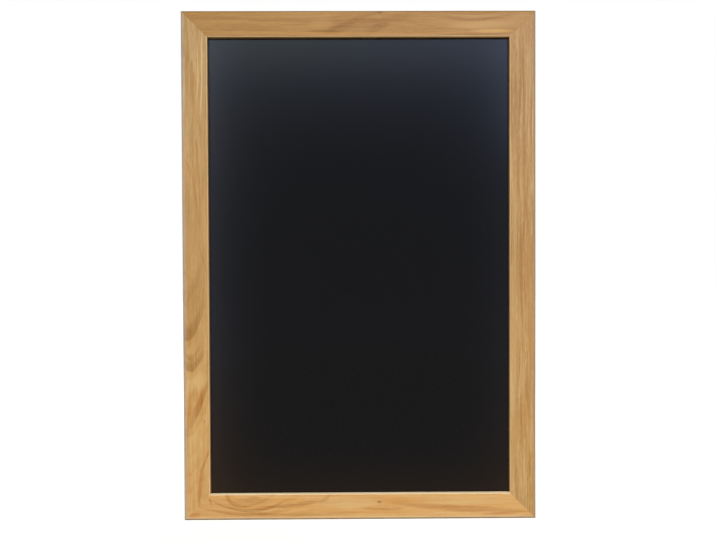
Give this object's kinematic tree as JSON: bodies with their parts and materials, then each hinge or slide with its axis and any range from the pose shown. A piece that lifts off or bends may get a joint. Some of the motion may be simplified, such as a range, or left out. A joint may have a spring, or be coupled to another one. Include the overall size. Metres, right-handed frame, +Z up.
{
  "type": "wall chalkboard",
  "caption": "Upright wall chalkboard: a mitred pale wooden frame around a recessed black chalk panel, with backing, retaining points, strap hangers with swinging rings, and wall bumpers.",
  "frame": {"origin": "middle of the board's width and height, on the wall plane that the bumper ends lie in", "axes": "+X to the right seen from the front, +Y backward into the wall, +Z up; the chalk face looks along -Y"},
  "size_m": [0.6, 0.0259, 0.864],
  "materials": {
    "honey_wood": "satin clear lacquer on honey-toned wood",
    "chalk_coating": "matte black chalk coating on hardboard",
    "brown_hardboard": "bare pressed hardboard",
    "galvanised_steel": "dull galvanised",
    "zinc_plated_steel": "bright zinc plate",
    "grey_rubber": "matte"
  },
  "bodies": {
    "board": {"top_rail": "honey_wood", "bottom_rail": "honey_wood", "left_stile": "honey_wood", "right_stile": "honey_wood", "chalk_panel": "chalk_coating", "backing_board": "brown_hardboard", "top_point_1": "galvanised_steel", "top_point_2": "galvanised_steel", "top_point_3": "galvanised_steel", "bottom_point_1": "galvanised_steel", "bottom_point_2": "galvanised_steel", "bottom_point_3": "galvanised_steel", "left_point_1": "galvanised_steel", "left_point_2": "galvanised_steel", "left_point_3": "galvanised_steel", "left_point_4": "galvanised_steel", "right_point_1": "galvanised_steel", "right_point_2": "galvanised_steel", "right_point_3": "galvanised_steel", "right_point_4": "galvanised_steel", "top_left_wedge_outer": "galvanised_steel", "top_left_wedge_inner": "galvanised_steel", "top_right_wedge_outer": "galvanised_steel", "top_right_wedge_inner": "galvanised_steel", "bottom_left_wedge_outer": "galvanised_steel", "bottom_left_wedge_inner": "galvanised_steel", "bottom_right_wedge_outer": "galvanised_steel", "bottom_right_wedge_inner": "galvanised_steel", "left_hanger_strap": "zinc_plated_steel", "right_hanger_strap": "zinc_plated_steel", "left_hanger_screw_upper": "zinc_plated_steel", "left_hanger_screw_lower": "zinc_plated_steel", "right_hanger_screw_upper": "zinc_plated_steel", "right_hanger_screw_lower": "zinc_plated_steel", "left_wall_bumper": "grey_rubber", "right_wall_bumper": "grey_rubber"},
    "left_ring": {"left_hanger_ring": "zinc_plated_steel"},
    "right_ring": {"right_hanger_ring": "zinc_plated_steel"}
  },
  "joints": [
    {"name": "left_ring_swing", "type": "hinge", "parent": "board", "child": "left_ring", "pos_m": [-0.2825, -0.0031, 0.302], "axis": [-1, 0, 0], "range_deg": [0, 180]},
    {"name": "right_ring_swing", "type": "hinge", "parent": "board", "child": "right_ring", "pos_m": [0.2825, -0.0031, 0.302], "axis": [-1, 0, 0], "range_deg": [0, 180]}
  ]
}
